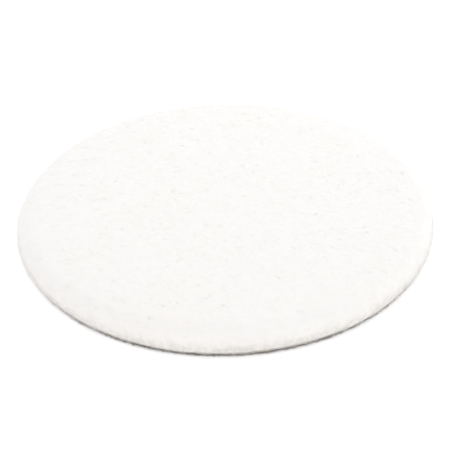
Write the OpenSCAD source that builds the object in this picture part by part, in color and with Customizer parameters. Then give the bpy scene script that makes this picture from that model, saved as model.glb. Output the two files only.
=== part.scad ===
/* [Felt] */
// Diameter of the felt disc
disc_d = 152.4; // [100:0.1:250]
// Thickness of the felt at its middle
felt_t = 9.5; // [9.5:0.5:25]
// Width of the outer ring in which the face falls away
crown_w = 20; // [12:1:22]
// Radius of the long arc that the face follows in that ring
crown_r = 110; // [90:5:400]
// Radius that turns the face down into the side
shoulder_r = 6.5; // [2:0.5:6.5]
// Radius that turns the side under to the back
toe_r = 1.5; // [0.5:0.5:2]

/* [Backing] */
// Thickness of the backing cloth
backing_t = 1.2; // [0.6:0.1:3]
// How far the backing cloth stays inside the felt's edge
backing_inset = 1.2; // [0:0.1:3]
// Thickness of the loop cloth, with its loops standing free
loop_t = 0.7; // [0.5:0.1:2]
// How far the loop cloth stays inside the felt's edge
loop_inset = 1.6; // [0:0.1:3]
// Thickness of each film of hot-melt adhesive
film_t = 0.15; // [0.1:0.05:0.3]
// How far each film stays inside the felt's edge
film_inset = 1.7; // [0:0.1:3]

/* [Hidden] */
$fn = 180;
disc_r = disc_d / 2;

// Heights at which one layer gives way to the next
backing_base = loop_t + film_t;
backing_top = backing_base + backing_t;
felt_base = backing_top + film_t;

// The long arc leaves the level face at crown_x and meets the shoulder's arc at join_x, both smoothly
crown_x = disc_r - crown_w;
crown_z = felt_t - crown_r;
shoulder_x = disc_r - shoulder_r;
reach = crown_r - shoulder_r;
shoulder_z = crown_z + sqrt(pow(reach, 2) - pow(shoulder_x - crown_x, 2));
join_x = crown_x + (shoulder_x - crown_x) * crown_r / reach;

// A flat round layer that stays inside the felt's edge by inset, with its underside at height base
module layer(inset, thickness, base) {
    translate([0, 0, base]) cylinder(r = disc_r - inset, h = thickness);
}

// Half of the felt's section: a level face, a falling ring, a rolled shoulder, a side and a small toe
module felt_section() {
    square([crown_x, felt_t]);
    intersection() {
        translate([crown_x, crown_z]) circle(crown_r);
        translate([crown_x, 0]) square([join_x - crown_x, felt_t]);
    }
    intersection() {
        translate([shoulder_x, shoulder_z]) circle(shoulder_r);
        translate([shoulder_x, shoulder_z]) square(shoulder_r);
    }
    square([disc_r - toe_r, shoulder_z]);
    translate([disc_r - toe_r, toe_r]) circle(toe_r);
    translate([0, toe_r]) square([disc_r, shoulder_z - toe_r]);
}

// Pressed wool felt that does the polishing
module felt_disc() {
    color("whitesmoke")
        translate([0, 0, felt_base])
            rotate_extrude() felt_section();
}

// Hot-melt film that holds the felt to the backing cloth
module felt_bond_film() {
    color("tan") layer(film_inset, film_t, backing_top);
}

// Light cloth that keeps the felt flat and round
module backing_cloth() {
    color("gainsboro") layer(backing_inset, backing_t, backing_base);
}

// Hot-melt film that holds the loop cloth to the backing cloth
module loop_bond_film() {
    color("tan") layer(film_inset, film_t, loop_t);
}

// Brushed loop cloth that grips the hooks of a backing plate
module loop_cloth() {
    color("dimgray") layer(loop_inset, loop_t, 0);
}

loop_cloth();
loop_bond_film();
backing_cloth();
felt_bond_film();
felt_disc();
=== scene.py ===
import math
import random
import bmesh
import bpy
from mathutils import Matrix, Vector, noise


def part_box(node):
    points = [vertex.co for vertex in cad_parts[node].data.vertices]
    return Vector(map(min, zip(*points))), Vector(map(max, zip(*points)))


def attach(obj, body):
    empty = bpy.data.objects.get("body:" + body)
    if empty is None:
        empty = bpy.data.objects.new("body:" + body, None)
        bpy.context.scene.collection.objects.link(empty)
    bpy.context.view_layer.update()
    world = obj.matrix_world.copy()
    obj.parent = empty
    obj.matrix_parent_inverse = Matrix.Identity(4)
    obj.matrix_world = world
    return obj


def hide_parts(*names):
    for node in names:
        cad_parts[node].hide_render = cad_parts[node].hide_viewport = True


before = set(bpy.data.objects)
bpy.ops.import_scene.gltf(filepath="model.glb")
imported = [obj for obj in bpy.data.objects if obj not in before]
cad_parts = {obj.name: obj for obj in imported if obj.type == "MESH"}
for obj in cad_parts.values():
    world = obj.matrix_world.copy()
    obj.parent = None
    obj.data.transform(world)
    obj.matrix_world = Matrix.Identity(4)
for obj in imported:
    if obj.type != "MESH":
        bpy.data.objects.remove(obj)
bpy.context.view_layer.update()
MM = 0.001


# The felt disc: a round of white wool, wetted, rolled and pressed until its fibres lock, then cut out and
# brushed. The press leaves the face level in the middle and soft towards the edge, where the knife's cut
# has been rubbed round. It carries faint lumps and hollows from the way the fleece was laid.
felt_low, felt_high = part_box("felt_disc")
felt_r, felt_top, felt_base = felt_high.x, felt_high.z, felt_low.z
crown_w, crown_r, shoulder_r, toe_r = 20 * MM, 110 * MM, 6.5 * MM, 1.5 * MM
broad_size, broad_lift = 34 * MM, 0.20 * MM
tuft_size, tuft_lift = 7.5 * MM, 0.08 * MM
nap_size, nap_lift = 1.7 * MM, 0.05 * MM
fade, step_down, octaves = 1.0, 2.0, 2
rows_across, still_h = 280, 0.1 * MM

level_w = felt_r - crown_w
shoulder_x = felt_r - shoulder_r
fall_turn = math.asin((shoulder_x - level_w) / (crown_r - shoulder_r))
shoulder_z = felt_top - crown_r + (crown_r - shoulder_r) * math.cos(fall_turn)
fall_w = crown_r * fall_turn
shoulder_w = shoulder_r * (math.pi / 2 - fall_turn)
side_w = shoulder_z - felt_base - toe_r
walk_w = level_w + fall_w + shoulder_w + side_w + toe_r * math.pi / 2


def felt_section(walk):
    """Radius and height of the felt's skin, walk metres out from the middle of the face."""
    if walk <= level_w:
        return walk, felt_top
    walk -= level_w
    if walk <= fall_w:
        turn = walk / crown_r
        return level_w + crown_r * math.sin(turn), felt_top - crown_r * (1 - math.cos(turn))
    walk -= fall_w
    if walk <= shoulder_w:
        turn = fall_turn + walk / shoulder_r
        return shoulder_x + shoulder_r * math.sin(turn), shoulder_z + shoulder_r * math.cos(turn)
    walk -= shoulder_w
    if walk <= side_w:
        return felt_r, shoulder_z - walk
    turn = min((walk - side_w) / toe_r, math.pi / 2)
    return felt_r - toe_r * (1 - math.cos(turn)), felt_base + toe_r * (1 - math.sin(turn))


def drawn_round(x, y):
    """How far out, 0 to 1, and at what angle a point of the square sheet lands when it is drawn round."""
    out = max(abs(x), abs(y))
    if out == 0:
        return 0.0, 0.0
    if abs(x) >= abs(y):
        return out, math.pi / 4 * y / x + (math.pi if x < 0 else 0)
    return out, math.pi / 2 - math.pi / 4 * x / y + (math.pi if y < 0 else 0)


def lumps(place):
    """How far the pressed fleece stands proud at a place, in metres."""
    broad = broad_lift * noise.fractal(place / broad_size, fade, step_down, octaves)
    tufts = tuft_lift * noise.fractal(place / tuft_size, fade, step_down, octaves)
    return broad + tufts + nap_lift * noise.noise(place / nap_size)


felt_mesh = bmesh.new()
bmesh.ops.create_grid(felt_mesh, x_segments=rows_across, y_segments=rows_across, size=1)
for vert in felt_mesh.verts:
    out, angle = drawn_round(vert.co.x, vert.co.y)
    radius, height = felt_section(out * walk_w)
    vert.co = radius * math.cos(angle), radius * math.sin(angle), height
rim_edges = [edge for edge in felt_mesh.edges if edge.is_boundary]
bmesh.ops.edgeloop_fill(felt_mesh, edges=rim_edges)
bmesh.ops.recalc_face_normals(felt_mesh, faces=felt_mesh.faces)
felt_mesh.normal_update()
for vert, out in [(vert, vert.normal.copy()) for vert in felt_mesh.verts]:
    if vert.co.z > felt_base + still_h:
        vert.co += out * lumps(vert.co)
felt_mesh.normal_update()
for face in felt_mesh.faces:
    face.smooth = len(face.verts) == 4


def piece(name, mesh, material):
    """Makes a finished bmesh a piece that rides with the disc."""
    data = bpy.data.meshes.new(name)
    mesh.to_mesh(data)
    data.materials.append(material)
    made = bpy.data.objects.new(name, data)
    bpy.context.scene.collection.objects.link(made)
    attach(made, "root")
    return made


class Wire:
    """A value in a material. Arithmetic on wires adds Math nodes, and node() adds any other kind."""

    def __init__(self, tree, socket=None):
        self.tree, self.socket = tree, socket

    def feed(self, target, value):
        if isinstance(value, Wire):
            self.tree.links.new(value.socket, target)
        else:
            target.default_value = value

    def node(self, kind, settings=None, gives=None, **sockets):
        made = self.tree.nodes.new("ShaderNode" + kind)
        for name, value in (settings or {}).items():
            setattr(made, name, value)
        for name, value in sockets.items():
            name = name.replace("_", " ")
            self.feed(next(s for s in made.inputs if s.enabled and s.name == name), value)
        return Wire(self.tree, next(s for s in made.outputs if s.enabled and gives in (None, s.name)))

    def math(self, operation, value=0.0, first=None):
        made = self.tree.nodes.new("ShaderNodeMath")
        made.operation = operation
        self.feed(made.inputs[0], self if first is None else first)
        self.feed(made.inputs[1], value)
        return Wire(self.tree, made.outputs[0])

    def __add__(self, other):
        return self.math("ADD", other)

    def __sub__(self, other):
        return self.math("SUBTRACT", other)

    def __rsub__(self, other):
        return self.math("SUBTRACT", self, first=other)

    def __mul__(self, other):
        return self.math("MULTIPLY", other)

    __radd__, __rmul__ = __add__, __mul__

    def ridge(self, sharp):
        """Bright lines where a noise value passes its middle, thinner as sharp grows."""
        return (1 - (self * 2 - 1).math("ABSOLUTE")).math("POWER", sharp)

    def blend(self, low, high):
        """The colour low where the wire is 0 and high where it is 1."""
        return self.node("Mix", {"data_type": "RGBA"}, Factor=self, A=(*low, 1), B=(*high, 1))

    def multiplied(self, share, tint):
        """The wire's colour, multiplied by the tint where share is 1."""
        settings = {"data_type": "RGBA", "blend_type": "MULTIPLY"}
        return self.node("Mix", settings, Factor=share, A=self, B=(*tint, 1))


def finish(name, **fixed):
    """A new material with its fixed values set, its shader, and a wire with the place on the piece in mm."""
    material = bpy.data.materials.new(name)
    material.use_nodes = True
    shader = material.node_tree.nodes["Principled BSDF"]
    for socket, value in fixed.items():
        shader.inputs[socket.replace("_", " ")].default_value = value
    place = Wire(material.node_tree).node("TexCoord", gives="Object")
    return material, shader, place.node("VectorMath", {"operation": "SCALE"}, Vector=place, Scale=1 / MM)


pressed_wool, shader, place = finish("pressed wool", Roughness=0.95, Sheen_Weight=0.35, Sheen_Roughness=0.6)
fleece = place.node("TexNoise", Vector=place, Scale=0.035, Detail=2.0)
matting = place.node("TexNoise", Vector=place, Scale=0.33, Detail=4.0, Distortion=0.8)
locks = place.node("TexNoise", Vector=place, Scale=1.9, Detail=2.0, Distortion=2.5).ridge(3)
fibres = place.node("TexNoise", Vector=place, Scale=6.5, Detail=2.0, Distortion=3.5).ridge(10)
tint = fleece.blend((0.868, 0.849, 0.835), (0.868, 0.859, 0.848))
# Painted shade: the colour is darkened between the ridges of the locks and the fibres, where shade falls in
# the gaps of the wool.
shaded_gaps = tint.multiplied(1 - locks, (0.975, 0.97, 0.965)).multiplied(1 - fibres, (0.95, 0.945, 0.94))
height = place.node("SeparateXYZ", gives="Z", Vector=place)
foot = felt_base / MM
# Painted shade: the colour darkens in patches towards the foot over the lowest 7 mm of the side, standing in
# for the shade that falls on the lower side.
low_side_shade = place.node("MapRange", {"interpolation_type": "SMOOTHSTEP"}, Value=height + matting * 1.5,
                      From_Min=foot + 7.0, From_Max=foot, To_Min=0.0, To_Max=1.0)
blotch = place.node("TexNoise", Vector=place, Scale=0.55, Detail=2.0)
patchy_shade = place.node("MapRange", Value=blotch, From_Min=0.4, From_Max=0.6, To_Min=0.4, To_Max=1.0)
place.feed(shader.inputs["Base Color"], shaded_gaps.multiplied(low_side_shade * patchy_shade, (0.72, 0.69, 0.66)))
grain = matting * 0.5 + locks * 0.25 + fibres * 0.25
relief = place.node("Bump", Strength=0.5, Distance=0.10 * MM, Height=grain)
place.feed(shader.inputs["Normal"], relief)

felt = piece("felt_body", felt_mesh, pressed_wool)
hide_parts("felt_disc")


# The nap: single wool hairs that brushing has lifted out of the pressed skin. They lie every way over the
# face and the side, gather here and there in small tufts, and hang as a thin fuzz over the backing's edge.
nap_wool, shader, place = finish("brushed wool", Roughness=0.9, Sheen_Weight=0.3, Sheen_Roughness=0.5)
lock = place.node("TexNoise", Vector=place, Scale=0.9, Detail=1.0)
# Painted light: the hairs are coloured lighter than the pressed wool of the skin, so that they even out the
# shade they cast on it.
place.feed(shader.inputs["Base Color"], lock.blend((0.90, 0.884, 0.868), (0.93, 0.918, 0.904)))

bare_h, side_tilt, toe_tilt = 0.5 * MM, 0.6, 0.1
felt_skin = [face for face in felt_mesh.faces
             if len(face.verts) == 4 and face.calc_center_median().z > felt_base + bare_h]
side_skin = [face for face in felt_skin if face.normal.z < side_tilt]
toe_skin = [face for face in felt_skin if face.normal.z < toe_tilt]
tuft_spots = random.Random(5).sample(felt_skin, 420)
side_spots = random.Random(6).sample(side_skin, 1500)
toe_spots = random.Random(7).sample(toe_skin, 1100)
root_depth, hair_low, weld = 0.06 * MM, 0.05 * MM, 0.0001 * MM
curl_spread, kink_spread, hair_taper = 0.22, 0.05, (0.7, 1, 0.9, 0.35)


def threads_of(name, thick):
    """An empty bundle of threads, each of which will be a four-sided tube."""
    threads = bpy.data.curves.new(name, "CURVE")
    threads.dimensions = "3D"
    threads.bevel_depth, threads.bevel_resolution, threads.use_fill_caps = thick / 2, 0, True
    return threads


def draw(threads, points, widths):
    """Draws one thread through the points, with its width at each."""
    thread = threads.splines.new("POLY")
    thread.points.add(len(points) - 1)
    thread.points.foreach_set("co", [value for point in points for value in (*point, 1)])
    thread.points.foreach_set("radius", widths)


def solid(threads):
    """Turns a drawn bundle into a bmesh of closed tubes."""
    drawn = bpy.data.objects.new(threads.name, threads)
    bpy.context.scene.collection.objects.link(drawn)
    tubes = drawn.evaluated_get(bpy.context.evaluated_depsgraph_get()).to_mesh()
    mesh = bmesh.new()
    mesh.from_mesh(tubes)
    bpy.data.objects.remove(drawn)
    bpy.data.curves.remove(threads)
    bmesh.ops.remove_doubles(mesh, verts=mesh.verts, dist=weld)
    for face in mesh.faces:
        face.smooth = True
    return mesh


def hairs_on(name, skin, count, length, loft, tip, thick, stray, seed):
    """Wool hairs on part of the skin. Each arches up by loft, ends tip above it and strays from level."""
    rng = random.Random(seed)
    hairs = threads_of(name, thick)
    for face in rng.choices(skin, [face.calc_area() for face in skin], k=count):
        a, b, c, d = (vert.co for vert in face.verts)
        root = a.lerp(b, rng.random()).lerp(d.lerp(c, rng.random()), rng.random())
        out = face.normal
        level = Vector((-root.y, root.x, 0)).normalized() * rng.choice((-1, 1))
        along = Matrix.Rotation(rng.gauss(0, stray), 3, out) @ level
        across = out.cross(along)
        reach = length * rng.uniform(0.5, 1.5)
        curl, kink = rng.gauss(0, curl_spread) * reach, rng.gauss(0, kink_spread) * reach
        high, end = loft * rng.uniform(0.4, 1.6), tip * rng.uniform(0.2, 1.8)
        points = []
        for share in (0, 1 / 3, 2 / 3, 1):
            arch = 4 * share * (1 - share)
            height = high * arch + end * share ** 2 - root_depth * (1 - share)
            sway = curl * arch + kink * math.sin(2 * math.pi * share)
            point = root + along * reach * share + across * sway + out * height
            point.z = max(point.z, hair_low)
            points.append(point)
        width = rng.uniform(0.6, 1.3)
        draw(hairs, points, [width * part for part in hair_taper])
    return solid(hairs)


# Name, skin, hairs, then length, loft, tip and thickness in mm, and the spread of headings in radians
naps = [
    ("felt_nap_1", felt_skin, 7000, 2.2, 0.06, 0.00, 0.030, 3.0),
    ("felt_nap_2", felt_skin, 7000, 1.6, 0.08, 0.10, 0.026, 3.0),
    ("felt_nap_3", felt_skin, 7000, 3.0, 0.06, 0.00, 0.030, 3.0),
    ("felt_nap_4", felt_skin, 6000, 1.2, 0.10, 0.20, 0.024, 3.0),
    ("felt_tufts", tuft_spots, 4200, 0.8, 0.14, 0.02, 0.034, 3.0),
    ("side_nap", side_spots, 4000, 1.5, 0.12, 0.35, 0.024, 1.2),
    ("toe_fuzz", toe_spots, 6000, 1.6, 0.25, 0.60, 0.032, 1.2),
]
for seed, (name, skin, count, length, loft, tip, thick, stray) in enumerate(naps, start=11):
    mesh = hairs_on(name, skin, count, length * MM, loft * MM, tip * MM, thick * MM, stray, seed)
    piece(name, mesh, nap_wool)


# The adhesive films: hot-melt web, ironed between the layers until it runs. It sets as a thin tan skin
# whose edge wanders in and out a little under the layer above.
hot_melt, shader, place = finish("set hot melt", Roughness=0.45)
run = place.node("TexNoise", Vector=place, Scale=0.5, Detail=3.0)
place.feed(shader.inputs["Base Color"], run.blend((0.30, 0.25, 0.18), (0.46, 0.39, 0.29)))
place.feed(shader.inputs["Roughness"], 0.35 + run * 0.3)
film_wander, rim_steps, rim_waves, rim_round = 0.9 * MM, 720, 22, 0.35


def round_layer(radius, low, high, wander):
    """A flat round layer with its edge rounded over and wandering in and out."""
    mesh = bmesh.new()
    thick, middle = high - low, Matrix.Translation((0, 0, (low + high) / 2))
    bmesh.ops.create_cone(mesh, cap_ends=True, segments=rim_steps, radius1=radius, radius2=radius,
                          depth=thick, matrix=middle)
    rims = [edge for edge in mesh.edges
            if {len(face.verts) for face in edge.link_faces} == {4, rim_steps}]
    bmesh.ops.bevel(mesh, geom=rims, offset=thick * rim_round, affect="EDGES", segments=2, profile=0.5,
                    material=-1)
    for vert in mesh.verts:
        out = Vector((vert.co.x, vert.co.y, 0)).normalized()
        vert.co += out * wander * noise.noise(out * rim_waves + Vector((0, 0, vert.co.z / MM)))
    return mesh


for node in ("felt_bond_film", "loop_bond_film"):
    low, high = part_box(node)
    film_mesh = round_layer(high.x, low.z, high.z, film_wander)
    film = piece(node.replace("bond_film", "glue_line"), film_mesh, hot_melt)
    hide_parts(node)


# The backing cloth: a stout warm-grey plain weave that keeps the felt flat. It is cut out with the disc,
# so all round its edge the yarns of both directions end in short stubs that fray into loose strands.
weave, shader, place = finish("grey canvas", Roughness=0.9, Sheen_Weight=0.2)
yarns = place.node("TexNoise", Vector=place, Scale=1.4, Detail=2.0)
lint = place.node("TexNoise", Vector=place, Scale=9.0, Detail=3.0, Distortion=1.5)
place.feed(shader.inputs["Base Color"], yarns.blend((0.42, 0.39, 0.355), (0.56, 0.53, 0.49)))
place.feed(shader.inputs["Normal"], place.node("Bump", Strength=0.5, Distance=0.05 * MM, Height=lint))

cloth_low, cloth_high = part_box("backing_cloth")
cloth_r = cloth_high.x
cloth_middle = (cloth_low.z + cloth_high.z) / 2
core_r, core_wander = cloth_r - 0.3 * MM, 0.1 * MM
yarn_pitch, yarn_d, yarn_wave = 0.75 * MM, 0.5 * MM, 0.22 * MM
stub_r, stub_l, stub_taper = cloth_r - 0.15 * MM, 1.8 * MM, 0.4 * MM
fray_d, fray_root, strands = 0.09 * MM, 0.3 * MM, 5
core_mesh = round_layer(core_r, cloth_low.z, cloth_high.z, core_wander)
cloth = piece("backing_cloth_core", core_mesh, weave)
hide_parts("backing_cloth")

rng = random.Random(8)
stubs = threads_of("backing_yarn_stubs", yarn_d)
frays = threads_of("backing_frayed_strands", fray_d)
rows = int((cloth_r - 2 * MM) / yarn_pitch)
for row in range(-rows, rows + 1):
    beside = row * yarn_pitch
    reach = math.sqrt(stub_r ** 2 - beside ** 2)
    for warp in (Vector((1, 0, 0)), Vector((0, 1, 0))):
        for end in (-1, 1):
            run = Vector((warp.y, warp.x, 0)) * end
            over = yarn_wave * (1 if (row + warp.x) % 2 else -1)
            tip = warp * beside + run * reach + Vector((0, 0, cloth_middle + over))
            draw(stubs, [tip - run * stub_l, tip - run * stub_taper, tip], [1, 1, 0.75])
            for strand in range(strands):
                side = Vector([rng.gauss(0, 0.14) for axis in range(3)]) * MM
                far = side * 1.8 + run * rng.uniform(0.15, 0.55) * MM
                far.z = max(far.z, cloth_low.z - tip.z)
                draw(frays, [tip - run * fray_root + side * 0.6, tip + side, tip + far], [1, 1, 0.5])
for threads in (stubs, frays):
    name = threads.name
    piece(name, solid(threads), weave)


# The loop cloth: dark knitted nylon whose back is brushed into standing loops for the hooks of a plate.
# A thin ribbed ground holds the loops, which reach down to whatever the disc lies on.
loop_yarn, shader, place = finish("dark loop nylon", Roughness=0.6, Sheen_Weight=0.1)
dye = place.node("TexNoise", Vector=place, Scale=0.8, Detail=2.0)
place.feed(shader.inputs["Base Color"], dye.blend((0.018, 0.015, 0.013), (0.042, 0.036, 0.031)))

knit, shader, place = finish("dark knitted ground", Roughness=0.75, Sheen_Weight=0.1)
wales = place.node("TexWave", {"bands_direction": "X"}, Vector=place, Scale=0.34, Distortion=0.6)
courses = place.node("TexWave", {"bands_direction": "Y"}, Vector=place, Scale=0.34, Distortion=0.6)
stitches = wales * courses
place.feed(shader.inputs["Base Color"], stitches.blend((0.018, 0.015, 0.013), (0.060, 0.052, 0.046)))
place.feed(shader.inputs["Normal"], place.node("Bump", Strength=0.8, Distance=0.12 * MM, Height=stitches))

loop_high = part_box("loop_cloth")[1]
loop_r = loop_high.x
ground_t, ground_wander = 0.25 * MM, 0.3 * MM
yarn_t, loop_points = 0.10 * MM, 6
ground_low = loop_high.z - ground_t
ground_mesh = round_layer(loop_r, ground_low, loop_high.z, ground_wander)
ground = piece("loop_cloth_ground", ground_mesh, knit)
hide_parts("loop_cloth")


def stand_loop(threads, foot, heading, width, splay):
    """One rounded loop that stands under the ground at foot, leaning splay metres outwards."""
    out = Vector((foot.x, foot.y, 0)).normalized()
    along = Vector((math.cos(heading), math.sin(heading), 0)) * width / 2
    drop = (foot.z - yarn_t * 0.6) * rng.uniform(0.85, 1.0)
    points = []
    for step in range(loop_points):
        turn = math.pi * step / (loop_points - 1)
        down = abs(math.sin(turn)) ** 0.7
        sideways = -math.cos(turn) * (0.6 + 0.5 * down)
        points.append(foot + along * sideways + out * splay * down - Vector((0, 0, drop * down)))
    draw(threads, points, [1] * loop_points)


rng = random.Random(9)
quarters = [threads_of(f"loop_pile_{number}", yarn_t) for number in range(1, 5)]
rim_pile = threads_of("rim_loops", yarn_t)
pile_pitch, pile_w, pile_inset = 1.42 * MM, 0.9 * MM, 1.2 * MM
rim_count, rim_w = 1900, 0.8 * MM
foot_z = ground_low + 0.1 * MM
rows = int(loop_r / pile_pitch)
for row in range(-rows, rows + 1):
    for column in range(-rows, rows + 1):
        foot = Vector((column + rng.uniform(-0.3, 0.3), row + rng.uniform(-0.3, 0.3), 0)) * pile_pitch
        foot.z = foot_z
        if foot.xy.length < loop_r - pile_inset:
            quarter = quarters[(row > 0) * 2 + (column > 0)]
            stand_loop(quarter, foot, rng.gauss(0, 0.5), pile_w, rng.uniform(-0.2, 0.3) * MM)
for index in range(rim_count):
    angle = 2 * math.pi * index / rim_count
    radius = loop_r - rng.uniform(0.0, 0.9) * MM
    foot = Vector((radius * math.cos(angle), radius * math.sin(angle), foot_z))
    heading = angle + math.pi / 2 + rng.gauss(0, 0.4)
    stand_loop(rim_pile, foot, heading, rim_w, rng.uniform(0.1, 0.5) * MM)
for threads in (*quarters, rim_pile):
    name = threads.name
    piece(name, solid(threads), loop_yarn)


# The floor: a pale matt table that runs out past every view. It glows faintly, like a light table, so
# that it comes out white and the disc's shadow on it stays weak.
floor_half, floor_drop = 3, 0.02 * MM
glow = {"Emission_Color": (1, 1, 1, 1), "Emission_Strength": 0.32}
table_top, shader, place = finish("pale table", Roughness=0.9, **glow)
tone = place.node("TexNoise", Vector=place, Scale=0.004, Detail=1.0)
place.feed(shader.inputs["Base Color"], tone.blend((0.93, 0.93, 0.93), (0.95, 0.95, 0.95)))
floor_mesh = bmesh.new()
bmesh.ops.create_grid(floor_mesh, x_segments=1, y_segments=1, size=floor_half,
                      matrix=Matrix.Translation((0, 0, -floor_drop)))
floor_data = bpy.data.meshes.new("floor")
floor_mesh.to_mesh(floor_data)
floor_data.materials.append(table_top)
floor = bpy.data.objects.new("floor", floor_data)
bpy.context.scene.collection.objects.link(floor)


# The light: a white room, one broad lamp high behind the disc and to its right, and a weak one in front.
world = bpy.data.worlds.new("white room")
bpy.context.scene.world = world
world.use_nodes = True
world.node_tree.nodes["Background"].inputs["Color"].default_value = (1, 1, 1, 1)
world.node_tree.nodes["Background"].inputs["Strength"].default_value = 1.0


def lamp(name, place, size, watts):
    """A square soft lamp that points at the disc."""
    data = bpy.data.lights.new(name, "AREA")
    data.size, data.energy = size, watts
    made = bpy.data.objects.new(name, data)
    made.location = place
    made.rotation_mode = "QUATERNION"
    made.rotation_quaternion = (-Vector(place)).to_track_quat("-Z", "Y")
    bpy.context.scene.collection.objects.link(made)


lamp("key_lamp", (0.14, 0.42, 0.55), 0.5, 1.2)
lamp("fill_lamp", (0.30, -0.80, 0.35), 0.6, 0.8)
bpy.context.scene.view_settings.view_transform = "Standard"


# The camera: a long lens, looking down at the disc from the front.
camera_data = bpy.data.cameras.new("camera")
camera_data.lens, camera_data.sensor_width = 100, 36
camera = bpy.data.objects.new("camera", camera_data)
bpy.context.scene.collection.objects.link(camera)
bpy.context.scene.camera = camera
elevation, roll, distance = math.radians(35), math.radians(-1.4), 0.4515
aim = Vector((0, -0.0119, 0.0080))
back = Vector((0, -math.cos(elevation), math.sin(elevation)))
camera.location = aim + back * distance
camera.rotation_mode = "QUATERNION"
camera.rotation_quaternion = (-back).to_track_quat("-Z", "Y") @ Matrix.Rotation(roll, 3, "Z").to_quaternion()
